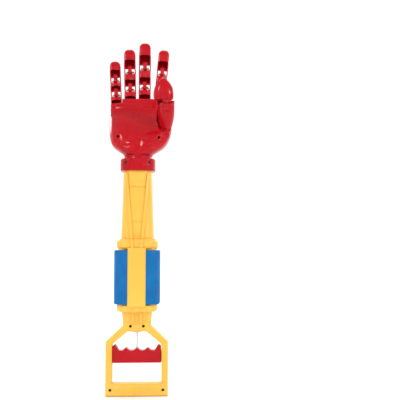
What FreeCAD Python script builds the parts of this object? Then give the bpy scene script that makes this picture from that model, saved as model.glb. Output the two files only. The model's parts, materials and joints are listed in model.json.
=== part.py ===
"""Toy robot-hand grabber: D-handle, trigger bar, hollow forearm and a hand with curling fingers.

Frame: millimetres, +Z up along the forearm, origin at the bottom centre of the handle crossbar.
-Y is the palm side, +Y the back of the hand, +X the thumb side.
"""
import FreeCAD
import Part
import math
import os

V = FreeCAD.Vector
X_AXIS = V(1, 0, 0)
Y_AXIS = V(0, 1, 0)
Z_AXIS = V(0, 0, 1)

# ---- driving dimensions -------------------------------------------------------------------------
WALL = 2.0                  # moulded wall of the housing and the hand shells
FIT = 0.05                  # radial running clearance of pins and screws

# handle
FRAME_W = 74.7              # outer width of the D-frame
RAIL_W = 8.0                # width of each side rail
FRAME_DEPTH = 17.0          # front to back
CROSSBAR_H = 15.0
SHOULDER_Z = 64.3           # where the rails end and the shoulders slope in
NECK_Z = 83.3               # where the shoulders meet the neck
WINDOW_TOP_Z = 76.0
WINDOW_TOP_HALF = 11.5
WINDOW_SHOULDER_Z = 61.0
FRAME_ROUND = 2.2           # rounding of the frame's outer edges

# forearm stations: height, width, depth, corner radius
NECK_LOW = (NECK_Z + 1.0, 33.8, 17.4, 6.0)
NECK_HIGH = (103.0, 37.2, 33.4, 10.0)
LOWER_BULGE = (100.0, 109.0, 48.6, 46.0, 15.0)
GRIP_LOW_Z = 108.5
GRIP_HIGH_Z = 174.0
GRIP_W = 54.6
GRIP_DEPTH = 49.0
STRIP_W = 21.4
CORE_W = 43.0
CORE_DEPTH = 39.0
UPPER_BULGE = (174.0, 187.0, 49.6, 47.0, 15.0)
ARM_LOW = (183.0, 39.2, 37.5, 12.0)
ARM_HIGH = (281.0, 33.4, 32.5, 11.0)
RIB_W = 2.9
RIB_PROUD = 1.7
PANEL_GROOVES = (249.0, 207.0, 190.5)   # heights of the fine grooves between the V ribs
GROOVE_DEPTH = 0.6
GROOVE_W = 0.9
RIB_LOW = (4.8, 171.0)      # half spacing and height of the V ribs' lower end
RIB_HIGH = (13.4, 266.0)
COLLAR_Z = (268.7, 283.7)
COLLAR_W = 42.1
COLLAR_DEPTH = 40.5

# trigger
TRIGGER_LOW_Z = 39.0
TRIGGER_VALLEY_Z = 53.6
TRIGGER_PEAK_Z = 56.6
TRIGGER_EAR_Z = 60.3
SCALLOP_PITCH = 12.9
TRIGGER_HALF = 28.9
TRIGGER_THICK = 12.5
TRIGGER_TRAVEL = 18.0
TONGUE_HALF = 32.0          # the tongues that run in the rails

# pull cord and return spring
CORD_R = 0.9
TENDON_R = 0.8
YOKE_Z = 152.0
SEAT_Z = 112.0
SPRING_R = 5.0
SPRING_WIRE = 0.6
SPRING_TURNS = 9

# fingers: name, base x, splay (deg), width, then each segment's low and high edge, rest heights
FINGERS = (
    ("index", 24.4, 5.0, 14.2, (357.7, 381.1), (384.0, 404.7), (408.2, 434.0)),
    ("middle", 6.0, 0.0, 15.4, (359.7, 386.4), (389.1, 411.6), (415.2, 443.0)),
    ("ring", -12.0, -1.6, 14.9, (357.8, 383.7), (386.6, 407.0), (410.2, 434.2)),
    ("little", -29.6, -3.0, 13.9, (354.7, 376.2), (379.4, 395.4), (398.2, 418.0)),
)
SEGMENTS = ("proximal", "middle", "distal")
FINGER_Y = 38.5             # depth of the root pivots
FINGER_LEAN = 5.0           # degrees that the straight fingers lean back
FINGER_DEPTH = 13.4
FINGER_WALL = 1.25
PIVOT_DROP = 1.0            # pivot depth below the back wall's low edge
TONGUE_W = 4.8
TONGUE_DEPTH = 7.4
PIN_R = 1.2
LOBE_R = 6.2                # round cheeks of the side walls about each pin
SADDLE_R = 6.6              # hollow in a segment's top, under the next one's cheeks
MOUTHS = (0.47, 0.29, 0.36)   # where the palm wall starts, as a share of each segment's length
CHEEK_Y = -4.2              # palm-side edge of the side walls below the mouth

# thumb
THUMB_ROOT = V(33.5, 4.0, 321.0)
THUMB_JOINT = V(35.0, -25.5, 352.6)
THUMB_SWING = 24.0          # room left for the tip to curl, in degrees
# lower segment sections: distance from the root towards the joint, half width, half depth
THUMB_SHANK = ((0.0, 6.0, 5.2), (9.0, 8.0, 6.5), (18.0, 9.3, 7.2), (28.0, 9.6, 7.2), (43.0, 9.4, 7.0))
THUMB_TURN = 16.0           # how far the lower segment swings, in degrees
# tip sections: height above the joint, left and right reach from it, half depth
THUMB_TIP = (
    (0.4, -14.6, 6.6, 6.4), (3.5, -15.8, 7.8, 7.1), (8.0, -16.1, 8.2, 7.4), (13.0, -15.5, 7.4, 7.2),
    (18.0, -13.6, 5.4, 6.4), (22.5, -10.6, 2.2, 5.0), (25.6, -7.7, -1.0, 3.2), (27.2, -5.4, -3.0, 1.2),
)
THUMB_PIN_R = 1.5
CHEEK_R = 6.0               # radius of the root eye and of the fork's cheeks
EYE_HALF = 3.4              # half thickness of the root eye

# hand stations: height, left x, right x, palm y, back y
HAND = (
    (283.7, -17.3, 17.3, -16.6, 16.6),
    (288.5, -17.4, 17.4, -16.6, 17.0),
    (293.0, -22.5, 23.0, -17.0, 21.5),
    (299.0, -30.2, 31.0, -16.4, 27.5),
    (306.0, -34.0, 36.0, -14.6, 32.5),
    (316.0, -36.0, 39.4, -10.4, 37.6),
    (328.0, -36.8, 40.6, -3.0, 42.0),
    (342.0, -37.6, 41.0, 9.5, 45.6),
    (352.0, -38.0, 40.8, 15.8, 47.2),
    (365.0, -38.2, 40.2, 21.2, 47.4),
)
SEAM_LOW = (0.0, 283.7)     # y and z of the plane where the palm and back shells meet
SEAM_HIGH = (34.0, 361.5)
PALM_TOP_Z = 364.0
BACK_TOP_Z = 356.5
THUMB_SLOT = (
    (28.0, 324.0), (45.0, 324.0), (45.0, 400.0), (23.0, 400.0), (22.6, 345.0), (22.0, 333.0), (23.4, 327.0),
)
BACK_NOTCH = (30.0, 331.0)  # lowest x and z of the back shell's notch beside the thumb
DECK_Z = (343.5, 347.0)     # knuckle bracket plate

SCREW_R = 1.0
SCREW_HEAD_R = 1.6
COUNTERBORE_R = 1.75
FRAME_SCREWS = ((-7.7, 82.6), (7.7, 82.6), (-31.3, 7.6), (31.3, 7.6))
COLLAR_SCREWS = ((-14.2, 278.3), (14.2, 278.3))
PALM_SCREWS = ((-24.5, 311.0), (25.4, 310.0))


# ---- helpers ------------------------------------------------------------------------------------
def box(x0, x1, y0, y1, z0, z1):
    return Part.makeBox(x1 - x0, y1 - y0, z1 - z0, V(x0, y0, z0))


def rod(radius, start, end):
    axis = end.sub(start)
    return Part.makeCylinder(radius, axis.Length, start, axis)


def rounded_wire(width, depth, radius, z):
    """Closed rounded rectangle at height z, centred on the arm axis."""
    hx, hy = width / 2, depth / 2
    edges = []
    corners = ((1, 1), (-1, 1), (-1, -1), (1, -1))
    diagonal = radius * math.sqrt(0.5)
    for i, (sx, sy) in enumerate(corners):
        centre = V(sx * (hx - radius), sy * (hy - radius), z)
        side = V(sx * radius, 0, 0)
        cap = V(0, sy * radius, 0)
        first, last = (side, cap) if sx * sy > 0 else (cap, side)
        middle = centre.add(V(sx * diagonal, sy * diagonal, 0))
        edges.append(Part.Arc(centre.add(first), middle, centre.add(last)).toShape())
        nx, ny = corners[(i + 1) % 4]
        next_centre = V(nx * (hx - radius), ny * (hy - radius), z)
        next_first = V(nx * radius, 0, 0) if nx * ny > 0 else V(0, ny * radius, 0)
        edges.append(Part.makeLine(centre.add(last), next_centre.add(next_first)))
    return Part.Wire(edges)


def tapered(low, high, grow=0.0):
    """Loft between two stations (z, width, depth, radius), grown by `grow` on every side."""
    wires = [rounded_wire(w + 2 * grow, d + 2 * grow, max(r + grow, 1.0), z) for z, w, d, r in (low, high)]
    return Part.makeLoft(wires, True, True)


def ring_bulge(bulge, grow=0.0, fillet=0.0):
    """Short rounded-rectangle block, with its top and bottom rims rounded."""
    z0, z1, width, depth, radius = bulge
    if grow < 0:
        z0, z1 = z0 - grow, z1 + grow
    block = tapered((z0, width, depth, radius), (z1, width, depth, radius), grow)
    if fillet:
        rims = [e for e in block.Edges if abs(e.BoundBox.ZMax - e.BoundBox.ZMin) < 1e-3]
        block = block.makeFillet(fillet, rims)
    return block


def fuse(shapes):
    whole = shapes[0].multiFuse(shapes[1:])
    return whole.removeSplitter()


def prism_xz(points, y0, y1):
    """Prism with an outline in the XZ plane, from y0 to y1."""
    corners = [V(x, y0, z) for x, z in points]
    return Part.Face(Part.makePolygon(corners + corners[:1])).extrude(V(0, y1 - y0, 0))


def write(node, shape):
    solids = shape.Solids
    result = solids[0] if len(solids) == 1 else Part.Compound(solids)
    print(node, "solids", len(solids), "volume", round(result.Volume, 1), "valid", result.isValid())
    result.exportStep("parts/" + node + ".step")


# ---- handle and forearm -------------------------------------------------------------------------
def frame_solid(inset, half_depth):
    """D-frame with its window; inset shrinks the material on both outlines."""
    half = FRAME_W / 2 - inset
    neck_half = NECK_LOW[1] / 2 - inset
    outer = [(-half, inset), (half, inset), (half, SHOULDER_Z - 0.4 * inset), (neck_half, NECK_Z - 0.4 * inset),
             (neck_half, NECK_Z + 4), (-neck_half, NECK_Z + 4), (-neck_half, NECK_Z - 0.4 * inset),
             (-half, SHOULDER_Z - 0.4 * inset)]
    inner_half = FRAME_W / 2 - RAIL_W + inset
    top = WINDOW_TOP_Z + inset
    top_half = WINDOW_TOP_HALF + 0.4 * inset
    window = [(-inner_half, CROSSBAR_H - inset), (inner_half, CROSSBAR_H - inset),
              (inner_half, WINDOW_SHOULDER_Z + 0.4 * inset), (top_half, top),
              (-top_half, top), (-inner_half, WINDOW_SHOULDER_Z + 0.4 * inset)]
    body = prism_xz(outer, -half_depth, half_depth)
    return body, prism_xz(window, -half_depth - 1, half_depth + 1)


def make_frame():
    body, window = frame_solid(0, FRAME_DEPTH / 2)
    body = body.cut(window)
    face_edges = [e for e in body.Edges
                  if abs(abs(e.BoundBox.YMin) - FRAME_DEPTH / 2) < 1e-3
                  and abs(e.BoundBox.YMax - e.BoundBox.YMin) < 1e-3
                  and e.BoundBox.ZMax < NECK_Z + 3]
    body = body.makeFillet(FRAME_ROUND, face_edges)
    hollow_body, hollow_window = frame_solid(WALL, FRAME_DEPTH / 2 - WALL)
    return body, hollow_body.cut(hollow_window)


def rib_prisms():
    """Slanted V ribs and straight neck ribs, as prisms right through the arm in Y."""
    prisms = []
    for side in (-1, 1):
        (x0, z0), (x1, z1) = RIB_LOW, RIB_HIGH
        half = RIB_W / 2
        slant = [(side * (x0 - half), z0), (side * (x0 + half), z0), (side * (x1 + half), z1), (side * (x1 - half), z1)]
        prisms.append(prism_xz(slant, -60, 60))
        neck = [(side * (x0 - half), NECK_Z + 3), (side * (x0 + half), NECK_Z + 3),
                (side * (x0 + half), 101), (side * (x0 - half), 101)]
        prisms.append(prism_xz(neck, -60, 60))
    return prisms


def grip_core(grow=0.0):
    core = box(-CORE_W / 2 - grow, CORE_W / 2 + grow, -CORE_DEPTH / 2 - grow, CORE_DEPTH / 2 + grow,
               GRIP_LOW_Z - 2, GRIP_HIGH_Z + 2)
    strip = box(-STRIP_W / 2 - grow, STRIP_W / 2 + grow, -GRIP_DEPTH / 2 - grow, GRIP_DEPTH / 2 + grow,
                GRIP_LOW_Z - 2, GRIP_HIGH_Z + 2)
    return core, strip


def make_housing():
    frame, frame_hollow = make_frame()
    outer = [frame, tapered(NECK_LOW, NECK_HIGH), ring_bulge(LOWER_BULGE, 0, 3.0)]
    outer += list(grip_core()) + [ring_bulge(UPPER_BULGE, 0, 4.5), tapered(ARM_LOW, ARM_HIGH)]
    body = fuse(outer)
    skin = [tapered(NECK_LOW, NECK_HIGH, RIB_PROUD), ring_bulge(UPPER_BULGE, RIB_PROUD, 4.5),
            tapered(ARM_LOW, ARM_HIGH, RIB_PROUD)]
    skin = skin[0].multiFuse(skin[1:])
    ribs = [prism.common(skin) for prism in rib_prisms()]
    arm = tapered(ARM_LOW, ARM_HIGH, 0.1)
    arm_core = tapered(ARM_LOW, ARM_HIGH, -GROOVE_DEPTH)
    (x0, z0), (x1, z1) = RIB_LOW, RIB_HIGH
    for z in PANEL_GROOVES:
        reach = x0 + (x1 - x0) * (z - z0) / (z1 - z0) - RIB_W / 2
        groove = box(-reach, reach, -40, 40, z - GROOVE_W / 2, z + GROOVE_W / 2)
        body = body.cut(groove.common(arm).cut(arm_core))
    body = body.fuse(ribs[0]).fuse(ribs[1]).fuse(ribs[2]).fuse(ribs[3])
    inner = [tapered(NECK_LOW, NECK_HIGH, -WALL), ring_bulge(LOWER_BULGE, -WALL), grip_core(-WALL)[0],
             ring_bulge(UPPER_BULGE, -WALL), tapered(ARM_LOW, (ARM_HIGH[0] + 1,) + ARM_HIGH[1:], -WALL)]
    hollow = fuse(inner)
    floor = box(-30, 30, -30, 30, 0, NECK_Z - 1)
    hollow = hollow.cut(floor)
    body = body.cut(hollow).cut(frame_hollow)
    bosses = [rod(3.6, V(x, -FRAME_DEPTH / 2 + 1, z), V(x, FRAME_DEPTH / 2 - 1, z)) for x, z in FRAME_SCREWS]
    for boss in bosses:
        body = body.fuse(boss)
    for x, z in FRAME_SCREWS:
        body = body.cut(rod(COUNTERBORE_R, V(x, -FRAME_DEPTH / 2 - 1, z), V(x, -4.0, z)))
        body = body.cut(rod(SCREW_R + FIT, V(x, -5.0, z), V(x, 6.0, z)))
    for side in (-1, 1):
        slot = sorted((side * (TRIGGER_HALF - 1.0), side * (TONGUE_HALF + 0.6)))
        body = body.cut(box(slot[0], slot[1], -2.2, 2.2, TRIGGER_LOW_Z - TRIGGER_TRAVEL - 1.5, 58.0))
    body = body.cut(rod(2.6, V(0, 0, 70), V(0, 0, 90)))
    shelf = grip_core(-0.5)[0].common(box(-30, 30, -30, 30, SEAT_Z - 4, SEAT_Z - 2))
    body = body.fuse(shelf.cut(rod(3.0, V(0, 0, 90), V(0, 0, 120))))
    for x, z in COLLAR_SCREWS:
        body = body.cut(rod(SCREW_R + FIT, V(x, -30, z), V(x, -5, z)))
    write("front_housing", body.common(box(-60, 60, -60, 0, -5, 300)))
    write("rear_housing", body.common(box(-60, 60, 0, 60, -5, 300)))


def make_grips():
    """Foam side pads that wrap the recessed core between the two bulges."""
    gap = 0.15
    block = tapered((GRIP_LOW_Z + 0.6, GRIP_W, GRIP_DEPTH + 1.0, 13.0), (GRIP_HIGH_Z - 0.6, GRIP_W, GRIP_DEPTH + 1.0, 13.0))
    rims = [e for e in block.Edges if abs(e.BoundBox.ZMax - e.BoundBox.ZMin) < 1e-3]
    block = block.makeFillet(2.0, rims)
    strip = box(-STRIP_W / 2 - gap, STRIP_W / 2 + gap, -60, 60, 0, 300)
    block = block.cut(grip_core(gap)[0]).cut(strip)
    write("left_grip", block.common(box(-60, 0, -60, 60, 0, 300)))
    write("right_grip", block.common(box(0, 60, -60, 60, 0, 300)))


def make_label():
    plate = box(-STRIP_W / 2 + 1.6, STRIP_W / 2 - 1.6, GRIP_DEPTH / 2, GRIP_DEPTH / 2 + 0.4,
                GRIP_LOW_Z + 5, GRIP_HIGH_Z - 5)
    corners = [e for e in plate.Edges if abs(e.BoundBox.YMax - e.BoundBox.YMin - 0.4) < 1e-3]
    write("label_plate", plate.makeFillet(2.0, corners))


def screw(x, z, head_y, tip_y):
    """Pan-head screw along +Y with a cross slot, its head's outer face at head_y."""
    head = rod(SCREW_HEAD_R, V(x, head_y, z), V(x, head_y + 1.4, z))
    shank = rod(SCREW_R, V(x, head_y + 1.4, z), V(x, tip_y, z))
    slot = box(x - 1.1, x + 1.1, head_y - 0.1, head_y + 0.7, z - 0.3, z + 0.3)
    cross = box(x - 0.3, x + 0.3, head_y - 0.1, head_y + 0.7, z - 1.1, z + 1.1)
    return head.fuse(shank).cut(slot).cut(cross)


def make_screws():
    frame = [screw(x, z, -5.4, 5.5) for x, z in FRAME_SCREWS]
    write("housing_screws", Part.Compound(frame))
    collar = [screw(x, z, -COLLAR_DEPTH / 2 + 1.6, -8.0) for x, z in COLLAR_SCREWS]
    write("collar_screws", Part.Compound(collar))


# ---- trigger, cord and spring -------------------------------------------------------------------
def make_trigger():
    """Finger bar: four shallow scallops between peaks, ears that follow the frame's shoulders."""
    reach = 2 * SCALLOP_PITCH
    outer_valley = 1.5 * SCALLOP_PITCH
    steps = 56
    wave = []
    for i in range(steps + 1):
        x = -reach + 2 * reach * i / steps
        top = TRIGGER_PEAK_Z if abs(x) < outer_valley else TRIGGER_EAR_Z
        crest = 0.5 + 0.5 * math.cos(2 * math.pi * x / SCALLOP_PITCH)
        wave.append(V(x, 0, TRIGGER_VALLEY_Z + (top - TRIGGER_VALLEY_Z) * crest ** 1.6))
    curve = Part.BSplineCurve()
    curve.interpolate(wave)
    rest = [wave[-1], V(TRIGGER_HALF - 1.8, 0, TRIGGER_EAR_Z), V(TRIGGER_HALF, 0, TRIGGER_EAR_Z - 1.8),
            V(TRIGGER_HALF, 0, TRIGGER_LOW_Z), V(-TRIGGER_HALF, 0, TRIGGER_LOW_Z),
            V(-TRIGGER_HALF, 0, TRIGGER_EAR_Z - 1.8), V(-TRIGGER_HALF + 1.8, 0, TRIGGER_EAR_Z), wave[0]]
    edges = [curve.toShape()] + [Part.makeLine(a, b) for a, b in zip(rest, rest[1:])]
    half = TRIGGER_THICK / 2
    bar = Part.Face(Part.Wire(edges)).extrude(V(0, TRIGGER_THICK, 0))
    bar.translate(V(0, -half, 0))
    rims = [e for e in bar.Edges if abs(e.BoundBox.YMax - e.BoundBox.YMin) < 1e-3]
    bar = bar.makeFillet(0.9, rims)
    tongues = box(-TONGUE_HALF, TONGUE_HALF, -1.8, 1.8, TRIGGER_LOW_Z + 1, TRIGGER_VALLEY_Z)
    bar = bar.fuse(tongues)
    bar = bar.cut(rod(CORD_R + 0.3, V(0, 0, TRIGGER_LOW_Z - 1), V(0, 0, TRIGGER_PEAK_Z + 2)))
    bar = bar.cut(rod(2.6, V(0, 0, TRIGGER_LOW_Z - 1), V(0, 0, TRIGGER_LOW_Z + 4)))
    write("trigger_bar", bar)
    knot = Part.makeSphere(2.2, V(0, 0, TRIGGER_LOW_Z + 1.9))
    cord_low = TRIGGER_LOW_Z + 1.9
    write("cord_knot", knot.cut(rod(CORD_R, V(0, 0, cord_low), V(0, 0, cord_low + 5))))
    write("pull_cord", rod(CORD_R, V(0, 0, cord_low), V(0, 0, YOKE_Z + 1)))


def make_cord_train():
    bush = rod(4.2, V(0, 0, WINDOW_TOP_Z - 1.4), V(0, 0, WINDOW_TOP_Z - 0.05))
    bush = bush.fuse(rod(2.5, V(0, 0, WINDOW_TOP_Z - 0.1), V(0, 0, 86)))
    write("cord_bush", bush.cut(rod(CORD_R + 0.3, V(0, 0, 70), V(0, 0, 90))))
    seat = rod(8.5, V(0, 0, SEAT_Z - 2), V(0, 0, SEAT_Z)).cut(rod(CORD_R + 0.4, V(0, 0, 100), V(0, 0, 120)))
    write("spring_seat", seat)
    yoke = rod(9.0, V(0, 0, YOKE_Z), V(0, 0, YOKE_Z + 4))
    yoke = yoke.fuse(rod(3.6, V(0, 0, YOKE_Z - 6), V(0, 0, YOKE_Z)))
    yoke = yoke.cut(rod(CORD_R, V(0, 0, YOKE_Z - 7), V(0, 0, YOKE_Z + 1)))
    routes = tendon_routes()
    for start, end in routes:
        yoke = yoke.cut(rod(TENDON_R, start, end))
    write("tendon_yoke", yoke)
    write("finger_tendons", Part.Compound([rod(TENDON_R, start, end) for start, end in routes]))
    pitch = (YOKE_Z - SEAT_Z - SPRING_WIRE * 2) / SPRING_TURNS
    helix = Part.makeHelix(pitch, pitch * SPRING_TURNS, SPRING_R)
    helix.translate(V(0, 0, SEAT_Z + SPRING_WIRE + 0.05))
    start = helix.Edges[0].Vertexes[0].Point
    wire = Part.Wire(Part.makeCircle(SPRING_WIRE, start, Y_AXIS))
    spring = Part.Wire(helix).makePipeShell([wire], True, True)
    write("return_spring", spring)


def tendon_routes():
    """Start in the yoke and end above the guide in the palm, one straight run for each finger."""
    routes = []
    for i, finger in enumerate(FINGERS):
        start = V(6.0 - 4.0 * i, 0, YOKE_Z + 1.5)
        end = V(0.32 * finger[1], 7.0, 330.0)
        routes.append((start, end))
    return routes


# ---- hand ---------------------------------------------------------------------------------------
def hand_wire(station, inset):
    z, left, right, palm, back = station
    cx, hw = (left + right) / 2, (right - left) / 2 - inset
    cy = palm + 0.5 * (back - palm)
    hd = (back - palm) / 2 - inset
    blend = min(1.0, max(0.0, (z - 288.0) / 20.0))
    power = 2.0 / (2.0 + 0.9 * blend)
    points = []
    count = 28
    for i in range(count):
        angle = 2 * math.pi * i / count
        c, s = math.cos(angle), math.sin(angle)
        x = cx + hw * math.copysign(abs(c) ** power, c)
        y = cy + hd * math.copysign(abs(s) ** power, s)
        points.append(V(x, y, z))
    curve = Part.BSplineCurve()
    curve.interpolate(points, PeriodicFlag=True)
    return Part.Wire(curve.toShape())


def seam_cutter(front):
    """Large block on one side of the slanted plane where the two hand shells meet."""
    (y0, z0), (y1, z1) = SEAM_LOW, SEAM_HIGH
    lean = math.degrees(math.atan2(y1 - y0, z1 - z0))
    block = box(-100, 100, -120, 0, -60, 200) if front else box(-100, 100, 0, 120, -60, 200)
    block.rotate(V(0, 0, 0), X_AXIS, -lean)
    block.translate(V(0, y0, z0))
    return block


def make_hand():
    outer = Part.makeLoft([hand_wire(s, 0) for s in HAND], True, False)
    top = (HAND[-1][0] + 1.0,) + HAND[-1][1:]
    inner_stations = [HAND[0]] + list(HAND[1:-1]) + [top]
    inner = Part.makeLoft([hand_wire(s, WALL + (1.5 if s[0] < 295 else 0)) for s in inner_stations], True, False)
    shell = outer.cut(inner)
    boss_z = [rod(3.8, V(x, -14, z), V(x, 26, z)) for x, z in PALM_SCREWS]
    for boss in boss_z:
        shell = shell.fuse(boss.common(outer))
    for x, z in PALM_SCREWS:
        shell = shell.cut(rod(COUNTERBORE_R, V(x, -30, z), V(x, 0.0, z)))
        shell = shell.cut(rod(SCREW_R + FIT, V(x, -1.0, z), V(x, 22.0, z)))
    palm = shell.common(seam_cutter(True)).common(box(-60, 60, -60, 80, 280, PALM_TOP_Z))
    palm = palm.cut(prism_xz(THUMB_SLOT, -60, 60))
    back = shell.common(seam_cutter(False)).common(box(-60, 60, -60, 80, 280, BACK_TOP_Z))
    back = back.cut(box(BACK_NOTCH[0], 60, -60, 60, BACK_NOTCH[1], 400))
    for finger in FINGERS:
        half = finger[3] / 2 + 0.9
        low = root_pivot(finger).z - LOBE_R - 0.6
        room = box(finger[1] - half, finger[1] + half, FINGER_Y - 7.4, FINGER_Y + 7.2, low, 400)
        palm, back = palm.cut(room), back.cut(room)
    for i in range(4):
        swept = thumb_shank(0.8)
        swept.rotate(THUMB_ROOT, Y_AXIS, -THUMB_TURN * i / 3)
        palm = palm.cut(swept)
    x, y, z = THUMB_ROOT
    near = y - EYE_HALF - 3.3
    palm = palm.cut(rod(CHEEK_R + 0.8, V(x, near, z), V(x, 60, z)))
    palm = palm.cut(box(x - 5.4, x + 4.4, near, 60, z - CHEEK_R - 3.0, z))
    little_edge = FINGERS[-1][1] + FINGERS[-1][3] / 2 + 1.2
    palm = palm.cut(box(-60, little_edge, -60, 60, FINGERS[-1][4][0] + 3.4, 400))
    back = back.cut(box(-60, little_edge, FINGER_Y - 8, FINGER_Y + 7.2, DECK_Z[1] + 0.2, 400))
    write("palm_shell", largest(palm))
    write("hand_back_shell", largest(back))
    screws = [screw(x, z, -1.4, 20.0) for x, z in PALM_SCREWS]
    write("palm_screws", Part.Compound(screws))
    make_collar()
    fit = Part.makeLoft([hand_wire(s, WALL + 0.3 + (1.5 if s[0] < 295 else 0)) for s in inner_stations], True, False)
    make_bracket(fit)
    make_thumb_fork(fit)


def largest(shape):
    return max(shape.Solids, key=lambda solid: solid.Volume)


def make_collar():
    """Red ring over the arm's end, joined to the hand's neck by a flange."""
    low, high = COLLAR_Z
    ring = ring_bulge((low, high, COLLAR_W, COLLAR_DEPTH, 15.0), 0, 1.5)
    arm = tapered((ARM_LOW[0], ARM_LOW[1] + 0.3, ARM_LOW[2] + 0.3, ARM_LOW[3]),
                  (ARM_HIGH[0] + 0.2, ARM_HIGH[1] + 0.3, ARM_HIGH[2] + 0.3, ARM_HIGH[3]))
    ring = ring.cut(arm).cut(rod(14.0, V(0, 0, 260), V(0, 0, 300)))
    for x, z in COLLAR_SCREWS:
        ring = ring.cut(rod(COUNTERBORE_R, V(x, -30, z), V(x, -COLLAR_DEPTH / 2 + 3.0, z)))
        ring = ring.cut(rod(SCREW_R + FIT, V(x, -30, z), V(x, -5, z)))
    write("wrist_collar", ring.cut(box(-60, 60, -60, 60, high, 320)))


def make_bracket(inner):
    """Plate across the open top of the hand, with four tongues that carry the fingers."""
    low, high = DECK_Z
    plate = box(-60, 60, 24, 60, low, high).common(inner)
    plate = plate.cut(box(-60, 60, 0, 60, high, 400))
    plate = plate.cut(box(BACK_NOTCH[0] + 1.5, 60, 0, 60, low - 1, high + 1))
    bracket = plate
    pins = []
    for finger in FINGERS:
        place = finger_placement(finger)
        drop = root_pivot(finger).z - high
        tongue = tongue_solid(drop + 1.0)
        tongue.Placement = place
        bracket = bracket.fuse(tongue)
        pins.append(pin_solid(finger, place))
    bracket = bracket.common(box(-60, 60, 0, 60, low, 400))
    write("knuckle_bracket", bracket)
    write("knuckle_pins", Part.Compound(pins))
    shelf = box(-27, 18, -60, 60, 318, 320).common(inner)
    for start, end in tendon_routes():
        shelf = shelf.cut(rod(TENDON_R + 1.4, start, end))
    write("tendon_guide", largest(shelf))


# ---- fingers ------------------------------------------------------------------------------------
def root_pivot(finger):
    return V(finger[1], FINGER_Y, finger[4][0] - PIVOT_DROP)


def finger_placement(finger):
    """Placement whose origin is the root pivot, with local +Z along the straight finger."""
    lean = FreeCAD.Rotation(X_AXIS, -FINGER_LEAN)
    splay = FreeCAD.Rotation(Y_AXIS, finger[2])
    return FreeCAD.Placement(root_pivot(finger), splay.multiply(lean))


def finger_section(width, depth, inset, z, size=1.0):
    """Arched back (+Y), softly rounded palm corners (-Y); size scales the corner radii."""
    hw, hd = width / 2 - inset, depth / 2 - inset
    arch = min(hw * 0.92, 6.2 * size)
    corner = max(3.0 - inset, 0.8) * size
    k = math.sqrt(0.5)
    left_arch, right_arch = V(-hw + arch, hd - arch, z), V(hw - arch, hd - arch, z)
    left_palm, right_palm = V(-hw + corner, -hd + corner, z), V(hw - corner, -hd + corner, z)

    def arc(centre, radius, x, y, along_x_first):
        first = centre.add(V(x * radius, 0, 0))
        second = centre.add(V(0, y * radius, 0))
        middle = centre.add(V(x * radius * k, y * radius * k, 0))
        ends = (first, second) if along_x_first else (second, first)
        return Part.Arc(ends[0], middle, ends[1]).toShape(), ends

    pieces = [arc(right_arch, arch, 1, 1, True), arc(left_arch, arch, -1, 1, False),
              arc(left_palm, corner, -1, -1, True), arc(right_palm, corner, 1, -1, False)]
    edges = []
    for i, (edge, ends) in enumerate(pieces):
        edges.append(edge)
        following = pieces[(i + 1) % 4][1]
        if ends[1].distanceToPoint(following[0]) > 1e-6:
            edges.append(Part.makeLine(ends[1], following[0]))
    return Part.Wire(edges)


def tongue_solid(drop):
    """Flat tongue below a pivot with a round head about it, bored for the pin."""
    stem = box(-TONGUE_W / 2, TONGUE_W / 2, -TONGUE_DEPTH / 2, TONGUE_DEPTH / 2, -drop, 0)
    head = rod(TONGUE_DEPTH / 2, V(-TONGUE_W / 2, 0, 0), V(TONGUE_W / 2, 0, 0))
    bore = rod(PIN_R + FIT, V(-TONGUE_W, 0, 0), V(TONGUE_W, 0, 0))
    return stem.fuse(head).removeSplitter().cut(bore)


def pin_solid(finger, place, z=0.0):
    half = finger[3] / 2 - 0.35
    pin = rod(PIN_R, V(-half, 0, z), V(half, 0, z))
    pin.Placement = place
    return pin


def domed_end(width, low, high):
    """Bullet-shaped fingertip: sections that shrink along a quarter ellipse."""
    wires = []
    for degrees in (0, 22, 42, 58, 71, 81):
        angle = math.radians(degrees)
        size = math.cos(angle)
        z = low + (high - low) * math.sin(angle)
        wires.append(finger_section(width * size, FINGER_DEPTH * size, 0, z, size))
    return Part.makeLoft(wires, True, False)


def top_relief(pivot):
    """Room above a segment: a saddle about the next pivot and a slope down to the palm side."""
    saddle = rod(SADDLE_R, V(-20, 0, pivot), V(20, 0, pivot))
    points = [(SADDLE_R, 0), (SADDLE_R, 20), (-20, 20), (-20, -12.3), (-6.7, -10.3), (0, -SADDLE_R)]
    slope = Part.Face(Part.makePolygon([V(-20, y, z) for y, z in points + points[:1]]))
    return saddle.fuse(slope.extrude(V(40, 0, 0)).translated(V(0, 0, pivot)))


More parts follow.
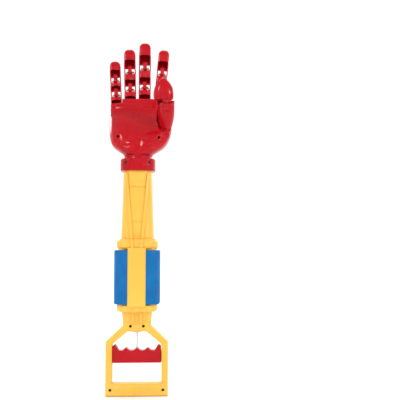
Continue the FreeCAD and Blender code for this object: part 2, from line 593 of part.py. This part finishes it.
def segment_solid(width, length, next_pivot, mouth_share):
    """One hollow segment about its pivot at the local origin; the last one has no next pivot."""
    low, high = PIVOT_DROP, PIVOT_DROP + length
    half, deep = width / 2, FINGER_DEPTH / 2
    if next_pivot:
        outer = Part.Face(finger_section(width, FINGER_DEPTH, 0, -LOBE_R)).extrude(V(0, 0, high + LOBE_R))
        outer = outer.cut(top_relief(next_pivot))
        roof = box(-20, 20, -20, 20, next_pivot - SADDLE_R - 1.4, 100)
        roof = roof.fuse(top_relief(next_pivot - 1.4))
    else:
        dome_low = high - 0.62 * width
        outer = Part.Face(finger_section(width, FINGER_DEPTH, 0, -LOBE_R)).extrude(V(0, 0, dome_low + LOBE_R))
        outer = outer.fuse(domed_end(width, dome_low, high + 0.2)).removeSplitter()
        roof = box(-20, 20, -20, 20, dome_low, 100)
    inner = Part.Face(finger_section(width, FINGER_DEPTH, FINGER_WALL, -LOBE_R - 1)).extrude(V(0, 0, 60))
    inner = inner.cut(roof)
    mouth = low + mouth_share * length
    round_mouth = rod(half, V(0, -20, 0), V(0, 0, 0))
    flatten = FreeCAD.Matrix()
    flatten.scale(1.0, 1.0, 0.3)
    round_mouth = round_mouth.transformGeometry(flatten)
    round_mouth.translate(V(0, 0, mouth - 0.3 * half))
    opening = box(-half, half, -20, CHEEK_Y, -20, mouth - 0.3 * half)
    opening = opening.fuse(round_mouth.common(box(-half, half, -20, CHEEK_Y, -20, 100)))
    below = box(-half, half, -20, 20, -20, low)
    below = below.cut(rod(LOBE_R, V(-half, 0, 0), V(half, 0, 0)))
    back_low = box(-half + FINGER_WALL, half - FINGER_WALL, 0, 20, -20, low)
    notch = rod(TONGUE_DEPTH / 2 + 0.3, V(0, 0, 0), V(0, deep + 1, 0))
    solid = outer.cut(inner.fuse(opening).fuse(below).fuse(back_low).fuse(notch))
    if next_pivot:
        tongue = tongue_solid(SADDLE_R + 1.0)
        tongue.translate(V(0, 0, next_pivot))
        solid = solid.fuse(tongue)
    return largest(solid.cut(rod(PIN_R + FIT, V(-20, 0, 0), V(20, 0, 0))))


def make_fingers():
    for finger in FINGERS:
        name, width = finger[0], finger[3]
        place = finger_placement(finger)
        stretch = 1 / math.cos(math.radians(FINGER_LEAN))
        lows = [(segment[0] - finger[4][0]) * stretch for segment in finger[4:]]
        for i, segment in enumerate(finger[4:]):
            length = (segment[1] - segment[0]) * stretch
            next_pivot = lows[i + 1] - lows[i] if i < 2 else None
            solid = segment_solid(width, length, next_pivot, MOUTHS[i])
            solid.translate(V(0, 0, lows[i]))
            solid.Placement = place.multiply(solid.Placement)
            write(name + "_" + SEGMENTS[i], solid)
            if i:
                write(name + "_" + SEGMENTS[i] + "_pin", pin_solid(finger, place, lows[i]))
            pivot = place.multVec(V(0, 0, lows[i]))
            print("  pivot", name, SEGMENTS[i], [round(c, 3) for c in pivot])
        axis = place.Rotation.multVec(X_AXIS)
        print("  axis", name, [round(c, 5) for c in axis])


# ---- thumb --------------------------------------------------------------------------------------
def thumb_shank(extra=0.0):
    """Tapered body of the lower segment, along the line from its root to its joint."""
    turn = FreeCAD.Rotation(Z_AXIS, THUMB_JOINT.sub(THUMB_ROOT))
    wires = []
    for along, half_x, half_y in THUMB_SHANK:
        ring = Part.Ellipse(V(0, 0, along), half_x + extra, half_y + extra).toShape()
        wires.append(Part.Wire(ring))
    shank = Part.makeLoft(wires, True, False)
    shank.Placement = FreeCAD.Placement(THUMB_ROOT, turn)
    return shank


def make_thumb():
    shank = thumb_shank()
    reach = V(0, 30, 0)
    drop = 30 * math.tan(math.radians(THUMB_SWING))
    shoulder = prism_xz([(0, -0.4), (-30, -0.4 - drop), (-30, 30), (30, 30), (30, -0.4)], -30, 30)
    shoulder.translate(THUMB_JOINT)
    shank = shank.cut(shoulder)
    for side in (-1, 1):
        inner_face = THUMB_ROOT.add(V(0, side * (EYE_HALF + 0.2), 0))
        outer_face = THUMB_ROOT.add(V(0, side * (EYE_HALF + 3.6), 0))
        shank = shank.cut(rod(CHEEK_R + 0.5, inner_face, outer_face))
    eye = rod(CHEEK_R, THUMB_ROOT.add(V(0, -EYE_HALF, 0)), THUMB_ROOT.add(V(0, EYE_HALF, 0)))
    shank = shank.cut(rod(4.8, THUMB_JOINT.sub(reach), THUMB_JOINT.add(reach)))
    head = rod(4.6, THUMB_JOINT.add(V(0, -2.3, 0)), THUMB_JOINT.add(V(0, 2.3, 0)))
    stem = prism_xz([(-3.6, -13.0), (3.6, -13.0), (3.6, 0.0), (-3.6, 0.0)], -2.3, 2.3)
    stem.translate(THUMB_JOINT)
    lower = shank.fuse(eye).fuse(head).fuse(stem)
    lower = lower.cut(rod(THUMB_PIN_R + FIT, THUMB_ROOT.sub(reach), THUMB_ROOT.add(reach)))
    lower = lower.cut(rod(PIN_R + FIT, THUMB_JOINT.sub(reach), THUMB_JOINT.add(reach)))
    write("thumb_lower", largest(lower))

    wires = []
    for rise, left, right, half_y in THUMB_TIP:
        half_x = (right - left) / 2
        ring = Part.Ellipse(V((left + right) / 2, 0, rise), max(half_x, half_y), min(half_x, half_y))
        wires.append(Part.Wire(ring.toShape()))
    egg = Part.makeLoft(wires, True, False)
    slot = box(-5.2, 5.2, -2.7, 2.7, -10, 0).fuse(rod(5.2, V(0, -2.7, 0), V(0, 2.7, 0)))
    hub = rod(4.4, V(0, -5.6, 0), V(0, 5.6, 0))
    tip = egg.fuse(hub).cut(slot)
    tip.translate(THUMB_JOINT)
    tip = tip.cut(rod(PIN_R + FIT, THUMB_JOINT.sub(reach), THUMB_JOINT.add(reach)))
    write("thumb_tip", tip)
    write("thumb_tip_pin", rod(PIN_R, THUMB_JOINT.add(V(0, -4.0, 0)), THUMB_JOINT.add(V(0, 4.0, 0))))
    pin_reach = V(0, EYE_HALF + 2.8, 0)
    write("thumb_root_pin", rod(THUMB_PIN_R, THUMB_ROOT.sub(pin_reach), THUMB_ROOT.add(pin_reach)))


def make_thumb_fork(inner):
    """Two cheeks that hold the thumb's root pin, on a foot that reaches the back shell."""
    x, y, z = THUMB_ROOT
    low = z - CHEEK_R - 2.6
    fork = box(x - 5, x + 4, y - EYE_HALF - 2.9, 1.0, low, low + 2.2)
    fork = fork.fuse(box(x - 5, x + 4, 0, 60, low, low + 2.2).common(inner))
    for side in (-1, 1):
        near, far = sorted((y + side * (EYE_HALF + 0.4), y + side * (EYE_HALF + 2.9)))
        cheek = rod(CHEEK_R, V(x, near, z), V(x, far, z)).fuse(box(x - 5, x + 4, near, far, low, z))
        fork = fork.fuse(cheek)
    reach = V(0, 30, 0)
    fork = fork.cut(rod(THUMB_PIN_R + FIT, THUMB_ROOT.sub(reach), THUMB_ROOT.add(reach)))
    write("thumb_fork", fork)


os.makedirs("parts", exist_ok=True)
make_housing()
make_grips()
make_label()
make_screws()
make_trigger()
make_cord_train()
make_hand()
make_fingers()
make_thumb()
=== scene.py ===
import json
import math

import bmesh
import bpy
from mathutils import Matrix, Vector, noise


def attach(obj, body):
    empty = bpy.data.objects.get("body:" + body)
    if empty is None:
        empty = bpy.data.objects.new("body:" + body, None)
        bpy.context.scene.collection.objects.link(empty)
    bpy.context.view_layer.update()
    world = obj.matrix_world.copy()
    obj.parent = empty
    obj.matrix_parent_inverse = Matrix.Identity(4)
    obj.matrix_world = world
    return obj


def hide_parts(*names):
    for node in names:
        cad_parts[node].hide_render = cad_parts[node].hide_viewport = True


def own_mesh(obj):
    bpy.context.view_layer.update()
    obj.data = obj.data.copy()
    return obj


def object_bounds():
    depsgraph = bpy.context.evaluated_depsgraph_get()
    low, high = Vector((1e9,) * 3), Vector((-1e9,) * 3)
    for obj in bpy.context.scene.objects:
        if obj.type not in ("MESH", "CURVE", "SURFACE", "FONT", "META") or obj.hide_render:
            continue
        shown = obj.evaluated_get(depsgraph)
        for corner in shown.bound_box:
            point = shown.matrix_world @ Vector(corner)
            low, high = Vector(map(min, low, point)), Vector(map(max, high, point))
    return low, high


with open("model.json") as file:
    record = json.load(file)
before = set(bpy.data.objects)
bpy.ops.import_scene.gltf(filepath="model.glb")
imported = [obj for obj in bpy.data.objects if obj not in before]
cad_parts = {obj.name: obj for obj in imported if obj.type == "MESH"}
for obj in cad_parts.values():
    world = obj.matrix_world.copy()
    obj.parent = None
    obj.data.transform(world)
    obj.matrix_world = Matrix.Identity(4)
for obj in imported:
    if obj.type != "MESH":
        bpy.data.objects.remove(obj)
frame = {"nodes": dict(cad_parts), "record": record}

CAD_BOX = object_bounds()
NODES = frame["nodes"]
RECORD = frame["record"]
SLOT_OF = {part["node"]: part["material_slot"] for part in RECORD["subparts"]}
MM_PER_M = 1000.0

# ---- camera and stage ---------------------------------------------------------------------------
LENS_MM = 62.3
SENSOR_MM = 36.0
CLIP_START = 0.01
CAMERA_AT = Vector((0.0395, -0.846, 0.1736))
CAMERA_YAW = math.radians(2.46)      # turned to the right of straight ahead
CAMERA_PITCH = math.radians(4.12)    # tilted up

FLOOR_GAP = 0.0002                   # between the floor and the object's lowest point
FLOOR_SIDES = 64
# Radius and height of each ring of the floor, from the flat middle up to the backdrop's rim.
FLOOR_PROFILE = ((1.6, 0.0), (1.9, 0.03), (2.15, 0.12), (2.35, 0.3), (2.45, 0.55), (2.5, 1.2),
                 (2.5, 3.0))

LIGHT_TARGET = (0.0, 0.0, 0.25)
LIGHTS = (                           # name, place, size, watts
    ("key_left", (-1.0, -1.15, 1.15), (0.26, 0.34), 11),
    ("key_right", (1.15, -1.0, 0.75), (0.26, 0.34), 8),
    ("top", (0.0, 1.0, 1.7), (0.9, 0.9), 9),
    ("back_left", (-1.1, 1.2, 1.0), (0.3, 0.4), 11),
    ("back_right", (1.1, 1.2, 0.8), (0.3, 0.4), 11),
)
WORLD_STRENGTH = 0.78


def make_camera():
    data = bpy.data.cameras.new("camera")
    data.lens = LENS_MM
    data.sensor_width = SENSOR_MM
    data.clip_start = CLIP_START
    camera = bpy.data.objects.new("camera", data)
    bpy.context.scene.collection.objects.link(camera)
    camera.location = CAMERA_AT
    camera.rotation_euler = (math.radians(90) + CAMERA_PITCH, 0, -CAMERA_YAW)
    bpy.context.scene.camera = camera


def make_floor():
    """Pale floor that curves up into a pale backdrop all round."""
    bm = bmesh.new()
    floor_z = CAD_BOX[0].z - FLOOR_GAP
    middle = bm.verts.new((0, 0, floor_z))
    turns = [2 * math.pi * i / FLOOR_SIDES for i in range(FLOOR_SIDES)]
    rings = []
    for radius, height in FLOOR_PROFILE:
        rings.append([bm.verts.new((radius * math.cos(turn), radius * math.sin(turn),
                                    height + floor_z)) for turn in turns])
    for i in range(FLOOR_SIDES):
        bm.faces.new((middle, rings[0][i], rings[0][(i + 1) % FLOOR_SIDES]))
    for low, high in zip(rings, rings[1:]):
        for i in range(FLOOR_SIDES):
            j = (i + 1) % FLOOR_SIDES
            bm.faces.new((low[i], high[i], high[j], low[j]))
    for face in bm.faces:
        face.smooth = True
    mesh = bpy.data.meshes.new("studio_floor")
    bm.to_mesh(mesh)
    bm.free()
    floor = bpy.data.objects.new("studio_floor", mesh)
    bpy.context.scene.collection.objects.link(floor)

    material = bpy.data.materials.new("studio_paper")
    material.use_nodes = True
    shader = material.node_tree.nodes["Principled BSDF"]
    shader.inputs["Base Color"].default_value = (0.93, 0.93, 0.93, 1)
    shader.inputs["Roughness"].default_value = 0.9
    shader.inputs["Specular IOR Level"].default_value = 0.1
    mesh.materials.append(material)


def area_light(name, at, size, power):
    data = bpy.data.lights.new(name, "AREA")
    data.shape = "RECTANGLE"
    data.size, data.size_y = size
    data.energy = power
    light = bpy.data.objects.new(name, data)
    bpy.context.scene.collection.objects.link(light)
    light.location = at
    aim = Vector(LIGHT_TARGET) - Vector(at)
    light.rotation_euler = aim.to_track_quat("-Z", "Y").to_euler()


def make_stage():
    """Floor with its backdrop, five area lights and an even white world."""
    make_floor()
    for name, at, size, power in LIGHTS:
        area_light(name, at, size, power)
    world = bpy.data.worlds.new("studio")
    bpy.context.scene.world = world
    world.use_nodes = True
    background = world.node_tree.nodes["Background"]
    background.inputs["Color"].default_value = (1, 1, 1, 1)
    background.inputs["Strength"].default_value = WORLD_STRENGTH
    bpy.context.scene.view_settings.view_transform = "Standard"


# ---- materials ----------------------------------------------------------------------------------
class MaterialNodes:
    """Short helper over one material's node tree."""

    def __init__(self, name):
        self.material = bpy.data.materials.new(name)
        self.material.use_nodes = True
        self.tree = self.material.node_tree
        self.shader = self.tree.nodes["Principled BSDF"]

    def add(self, kind, **settings):
        node = self.tree.nodes.new(kind)
        for key, value in settings.items():
            setattr(node, key, value)
        return node

    def link(self, source, target):
        self.tree.links.new(source, target)

    def feed(self, source, name):
        """Drive one of the shader's inputs."""
        self.link(source, self.shader.inputs[name])

    def fix(self, **values):
        """Set the shader's plain inputs. An underscore in a key stands for a space."""
        for key, value in values.items():
            self.shader.inputs[key.replace("_", " ")].default_value = value

    def object_place(self):
        return self.add("ShaderNodeTexCoord").outputs["Object"]

    def noise(self, scale, detail=3.0, roughness=0.5):
        node = self.add("ShaderNodeTexNoise")
        node.inputs["Scale"].default_value = scale
        node.inputs["Detail"].default_value = detail
        node.inputs["Roughness"].default_value = roughness
        self.link(self.object_place(), node.inputs["Vector"])
        return node.outputs["Fac"]

    def span(self, value, low_in, high_in, low_out, high_out):
        """The value, mapped from one range onto another and clamped to it."""
        node = self.add("ShaderNodeMapRange")
        node.inputs["From Min"].default_value = low_in
        node.inputs["From Max"].default_value = high_in
        node.inputs["To Min"].default_value = low_out
        node.inputs["To Max"].default_value = high_out
        self.link(value, node.inputs["Value"])
        return node.outputs["Result"]

    def mix(self, factor, first, second):
        """Blend of two colours. Each is a socket or three numbers."""
        node = self.add("ShaderNodeMix", data_type="RGBA")
        self.link(factor, node.inputs[0])
        for socket, value in ((node.inputs[6], first), (node.inputs[7], second)):
            if hasattr(value, "is_output"):
                self.link(value, socket)
            else:
                socket.default_value = tuple(value) + (1,)
        return node.outputs[2]

    def bump(self, height, strength, distance, normal=None):
        node = self.add("ShaderNodeBump")
        node.inputs["Strength"].default_value = strength
        node.inputs["Distance"].default_value = distance
        self.link(height, node.inputs["Height"])
        if normal is not None:
            self.link(normal, node.inputs["Normal"])
        return node.outputs["Normal"]

    def combine(self, operation, first, second):
        node = self.add("ShaderNodeMath", operation=operation)
        self.link(first, node.inputs[0])
        self.link(second, node.inputs[1])
        return node.outputs[0]

    def edge_wear(self):
        """0 on flats, up to 0.5 on outer edges, from pointiness broken up by noise."""
        geometry = self.add("ShaderNodeNewGeometry")
        edges = self.span(geometry.outputs["Pointiness"], 0.53, 0.60, 0.0, 0.5)
        patch = self.span(self.noise(190.0, 4.0), 0.42, 0.62, 0.0, 1.0)
        return self.combine("MULTIPLY", edges, patch)


def moulded_plastic(name, base, deep, worn, roughness, grain, coat, gloss):
    """Injection-moulded plastic: faint flow shade, fine grain, scuffs and paler rubbed edges."""
    m = MaterialNodes(name)
    flow = m.span(m.noise(14.0), 0.35, 0.65, 0.0, 1.0)
    body = m.mix(flow, base, deep)
    speck = m.span(m.noise(900.0, 2.0), 0.66, 0.74, 0.0, 0.25)
    body = m.mix(speck, body, worn)
    m.feed(m.mix(m.edge_wear(), body, worn), "Base Color")
    m.feed(m.span(m.noise(60.0, 6.0, 0.65), 0.3, 0.75, *roughness), "Roughness")
    ripple = m.bump(m.noise(38.0, 2.0), 0.05, 0.0004)
    m.feed(m.bump(m.noise(grain), 0.10, 0.00008, ripple), "Normal")
    m.fix(Specular_IOR_Level=gloss, Coat_Weight=coat, Coat_Roughness=0.12, Subsurface_Weight=0.04,
          Subsurface_Radius=(0.002, 0.001, 0.0006), Subsurface_Scale=1.0)
    return m.material


def foam_rubber():
    """Closed-cell blue foam: fine open pores, soft mottling and a matte, slightly dusty sheen."""
    m = MaterialNodes("blue_foam_rubber")
    mottle = m.span(m.noise(45.0, 5.0), 0.35, 0.7, 0.0, 1.0)
    body = m.mix(mottle, (0.001, 0.130, 0.360), (0.001, 0.095, 0.285))
    pores = m.add("ShaderNodeTexVoronoi", feature="F1")
    pores.inputs["Scale"].default_value = 1100.0
    m.link(m.object_place(), pores.inputs["Vector"])
    pits = m.span(pores.outputs["Distance"], 0.0, 0.45, 0.0, 1.0)
    pore_shade = m.span(pores.outputs["Distance"], 0.0, 0.22, 0.55, 0.0)
    m.feed(m.mix(pore_shade, body, (0.002, 0.07, 0.22)), "Base Color")
    m.feed(m.span(m.noise(120.0, 4.0), 0.3, 0.7, 0.62, 0.85), "Roughness")
    soft = m.bump(m.noise(26.0), 0.25, 0.0009)
    m.feed(m.bump(pits, 0.35, 0.00025, soft), "Normal")
    m.fix(Specular_IOR_Level=0.2, Sheen_Weight=0.03, Sheen_Roughness=0.5)
    return m.material


def braided_nylon():
    """Off-white braided cord: crossing strands with painted shade between them, and slight
    soiling.
    """
    m = MaterialNodes("braided_nylon")
    place = m.object_place()
    strands = []
    for lean in (0.7, -0.7):
        turn = m.add("ShaderNodeMapping")
        turn.inputs["Rotation"].default_value = (0.0, lean, lean)
        m.link(place, turn.inputs["Vector"])
        wave = m.add("ShaderNodeTexWave", wave_type="BANDS", bands_direction="Z")
        wave.inputs["Scale"].default_value = 420.0
        m.link(turn.outputs["Vector"], wave.inputs["Vector"])
        strands.append(wave.outputs["Fac"])
    crossing = m.combine("MAXIMUM", *strands)
    # Darker grey where the strands sink, as in the bump below: painted shade between the strands.
    body = m.mix(crossing, (0.30, 0.30, 0.30), (0.52, 0.52, 0.51))
    soil = m.span(m.noise(80.0), 0.45, 0.8, 0.0, 0.5)
    m.feed(m.mix(soil, body, (0.36, 0.34, 0.31)), "Base Color")
    m.feed(m.span(m.noise(300.0), 0.3, 0.7, 0.55, 0.8), "Roughness")
    m.feed(m.bump(crossing, 0.5, 0.0002), "Normal")
    m.fix(Sheen_Weight=0.3)
    return m.material


def mottled_metal(name, cloud_scale, dark, pale, roughness, tool_marks, metallic):
    """Small steel piece: mottled colour and fine turning or tool marks."""
    m = MaterialNodes(name)
    cloud = m.span(m.noise(cloud_scale, 4.0), 0.3, 0.7, 0.0, 1.0)
    m.feed(m.mix(cloud, dark, pale), "Base Color")
    m.feed(m.span(m.noise(500.0), 0.3, 0.7, *roughness), "Roughness")
    m.feed(m.bump(m.noise(1500.0, 2.0), tool_marks, 0.00004), "Normal")
    m.fix(Metallic=metallic)
    return m.material


MATERIALS = {
    "red_plastic": moulded_plastic(
        "red_gloss_plastic", base=(0.43, 0.002, 0.008), deep=(0.34, 0.002, 0.006),
        worn=(0.52, 0.02, 0.03), roughness=(0.14, 0.26), grain=1400.0, coat=0.05, gloss=0.14),
    "yellow_plastic": moulded_plastic(
        "yellow_plastic", base=(0.78, 0.43, 0.055), deep=(0.73, 0.38, 0.043),
        worn=(0.85, 0.54, 0.13), roughness=(0.30, 0.44), grain=1200.0, coat=0.10, gloss=0.35),
    "inner_plastic": moulded_plastic(
        "natural_plastic", base=(0.72, 0.72, 0.69), deep=(0.64, 0.64, 0.61),
        worn=(0.80, 0.80, 0.78), roughness=(0.40, 0.55), grain=1200.0, coat=0.0, gloss=0.4),
    "label_film": moulded_plastic(
        "blank_label_film", base=(0.80, 0.49, 0.07), deep=(0.76, 0.45, 0.06),
        worn=(0.86, 0.60, 0.20), roughness=(0.18, 0.26), grain=2000.0, coat=0.4, gloss=0.5),
    "blue_foam": foam_rubber(),
    "nylon_cord": braided_nylon(),
    "steel": mottled_metal(
        "zinc_steel", cloud_scale=220.0, dark=(0.50, 0.50, 0.52), pale=(0.66, 0.66, 0.67),
        roughness=(0.24, 0.42), tool_marks=0.15, metallic=1.0),
    # Screw heads near black with a red tint: painted shade of the dark screw holes in the red
    # plastic.
    "dark_steel": mottled_metal(
        "screw_steel_painted_hole_shade", cloud_scale=260.0, dark=(0.012, 0.005, 0.005),
        pale=(0.035, 0.014, 0.012), roughness=(0.35, 0.55), tool_marks=0.2, metallic=0.2),
}


def dress_cad_nodes():
    for name, node in NODES.items():
        node.data.materials.clear()
        node.data.materials.append(MATERIALS[SLOT_OF[name]])


# ---- pieces that stand in for CAD nodes ---------------------------------------------------------
WELD_DISTANCE = 0.00002
SPLIT_PASSES = 5
LONGEST_SHELL_EDGE = 0.0022
RELIEF_FROM_Z = 283.0                # mm, at the collar
RELIEF_RISE = 2.0                    # mm above that to full relief
FACING_FROM = 0.35                   # the normal's share of Y where the relief starts
FACING_RISE = 0.35                   # and how much more of it gives full relief

# Across and up, in mm, and for a pad its reach.
HEEL_FOLDS = ((-20.8, 303.0), (-9.0, 303.0), (11.4, 303.2), (25.0, 304.0))
HEEL_PADS = ((-22.0, 316.5, 8.0), (-5.7, 313.5, 8.5), (9.0, 313.0, 8.0), (29.0, 318.5, 8.0))
KNUCKLES_ACROSS = (-29.0, -12.0, 6.0, 23.0)


def stand_in(name, node_name, body):
    """New piece with a copy of a CAD node's mesh, which takes that node's place on its body."""
    node = NODES[node_name]
    piece = bpy.data.objects.new(name, node.data.copy())
    bpy.context.scene.collection.objects.link(piece)
    piece.matrix_world = node.matrix_world.copy()
    piece.data.materials.clear()
    piece.data.materials.append(MATERIALS[SLOT_OF[node_name]])
    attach(piece, body)
    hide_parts(node_name)
    return piece


def split_long_edges(mesh, longest):
    """Cut longer edges in half, in up to SPLIT_PASSES rounds."""
    bm = bmesh.new()
    bm.from_mesh(mesh)
    bmesh.ops.remove_doubles(bm, verts=bm.verts, dist=WELD_DISTANCE)
    bmesh.ops.triangulate(bm, faces=bm.faces)
    for _ in range(SPLIT_PASSES):
        edges = [edge for edge in bm.edges if edge.calc_length() > longest]
        if not edges:
            break
        bmesh.ops.subdivide_edges(bm, edges=edges, cuts=1)
        bmesh.ops.triangulate(bm, faces=bm.faces)
    bm.to_mesh(mesh)
    bm.free()


def hump(value, centre, reach):
    """1 at the centre, falling smoothly to 0 at the reach."""
    t = min(1.0, abs(value - centre) / reach)
    return 0.5 + 0.5 * math.cos(math.pi * t)


def neck_rings(z):
    """Groove and bead that step round the neck just above the collar."""
    return 0.9 * hump(z, 287.2, 1.7) - 0.6 * hump(z, 290.2, 1.8)


def palm_relief(x, z):
    """Depth pressed into the palm, in mm: hollow, creases and rings, less the pads and folds."""
    hollow = 4.4 * hump(x, 9.0, 28.0) * hump(z, 339.0, 26.0)
    side_fold = 0.7 * hump(x, -34.0, 18.0) * hump(z, 341.0, 4.0)
    valley = 1.8 * hump(x, 1.0, 7.0) * hump(z, 301.0, 13.0)
    crease = 1.0 * hump(x, 20.5, 3.5) * hump(z, 345.0, 20.0)
    wrist_fold = 1.0 * hump(z, 298.6, 2.6) * hump(abs(x), 15.0, 12.0)
    pads = sum(1.1 * hump(x, at, reach) * hump(z, height, reach)
               for at, height, reach in HEEL_PADS)
    folds = sum(0.8 * hump(x, at, 5.0) * hump(z, height, 2.8) for at, height in HEEL_FOLDS)
    rolls = 0.3 * noise.noise(Vector((x / 13.0, 1.7, z / 11.0)))
    return (hollow + side_fold + valley + crease + wrist_fold - pads - folds + rolls
            + neck_rings(z))


def back_relief(x, z):
    """Depth pressed into the back of the hand, in mm: rolls and rings, less knuckle swells."""
    swells = sum(hump(x, centre, 8.0) for centre in KNUCKLES_ACROSS)
    rolls = 0.5 * noise.noise(Vector((x / 15.0, 5.3, z / 13.0)))
    return -0.7 * swells * hump(z, 350.0, 16.0) + rolls + neck_rings(z)


def press(mesh, side, relief):
    """Push in whatever faces out on one side of Y.

    The relief fades out where a surface turns away from that side, and down to RELIEF_FROM_Z.
    """
    split_long_edges(mesh, LONGEST_SHELL_EDGE)
    places = []
    for vertex, normal in zip(mesh.vertices, mesh.vertex_normals):
        x, y, z = vertex.co
        facing = normal.vector.y * side
        if facing > FACING_FROM:
            rise = min(1.0, max(0.0, (z * MM_PER_M - RELIEF_FROM_Z) / RELIEF_RISE))
            fade = rise * min(1.0, (facing - FACING_FROM) / FACING_RISE)
            y -= side * relief(x * MM_PER_M, z * MM_PER_M) * fade / MM_PER_M
        places.extend((x, y, z))
    mesh.vertices.foreach_set("co", places)
    mesh.update()


def make_hand_shells():
    palm = stand_in("moulded_palm", "palm_shell", "root")
    press(palm.data, -1.0, palm_relief)
    back = stand_in("moulded_hand_back", "hand_back_shell", "root")
    press(back.data, 1.0, back_relief)


def make_spring():
    spring = stand_in("coiled_return_spring", "return_spring", "root")
    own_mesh(spring)


# ---- ribs, which the CAD model doesn't have -----------------------------------------------------
RIB_BEVEL = 0.0003


def rib(name, low, high, width, depth):
    """Four alike ribs, left and right on the front and back, each between two points in mm.

    Each rib reaches as far into the housing as it stands out of it.
    """
    bm = bmesh.new()
    for face in (-1.0, 1.0):
        for side in (-1.0, 1.0):
            ring = []
            for x, y, z in (low, high):
                for across, out in ((-0.5, 0.0), (0.5, 0.0), (0.5, 1.0), (-0.5, 1.0)):
                    place = (side * (x + across * width),
                             face * (y - depth + out * 2.0 * depth), z)
                    ring.append(bm.verts.new([c / MM_PER_M for c in place]))
            bm.faces.new(ring[0:4])
            bm.faces.new(ring[4:8])
            for i in range(4):
                j = (i + 1) % 4
                bm.faces.new((ring[i], ring[j], ring[4 + j], ring[4 + i]))
    bmesh.ops.recalc_face_normals(bm, faces=bm.faces)
    mesh = bpy.data.meshes.new(name)
    bm.to_mesh(mesh)
    bm.free()
    mesh.materials.append(MATERIALS["yellow_plastic"])
    piece = bpy.data.objects.new(name, mesh)
    bpy.context.scene.collection.objects.link(piece)
    bevel = piece.modifiers.new("rounded_edges", "BEVEL")
    bevel.width = RIB_BEVEL
    bevel.segments = 2
    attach(piece, "root")


def make_ribs():
    rib("neck_ribs", (5.0, 9.2, 86.5), (5.0, 16.7, 102.5), width=1.3, depth=1.5)
    rib("lower_bulge_ribs", (5.0, 23.0, 101.8), (5.0, 23.0, 107.8), width=1.3, depth=1.2)
    rib("upper_bulge_ribs", (5.1, 23.5, 175.4), (6.1, 23.5, 185.6), width=2.6, depth=1.2)


make_camera()
make_stage()
dress_cad_nodes()
make_hand_shells()
make_spring()
make_ribs()
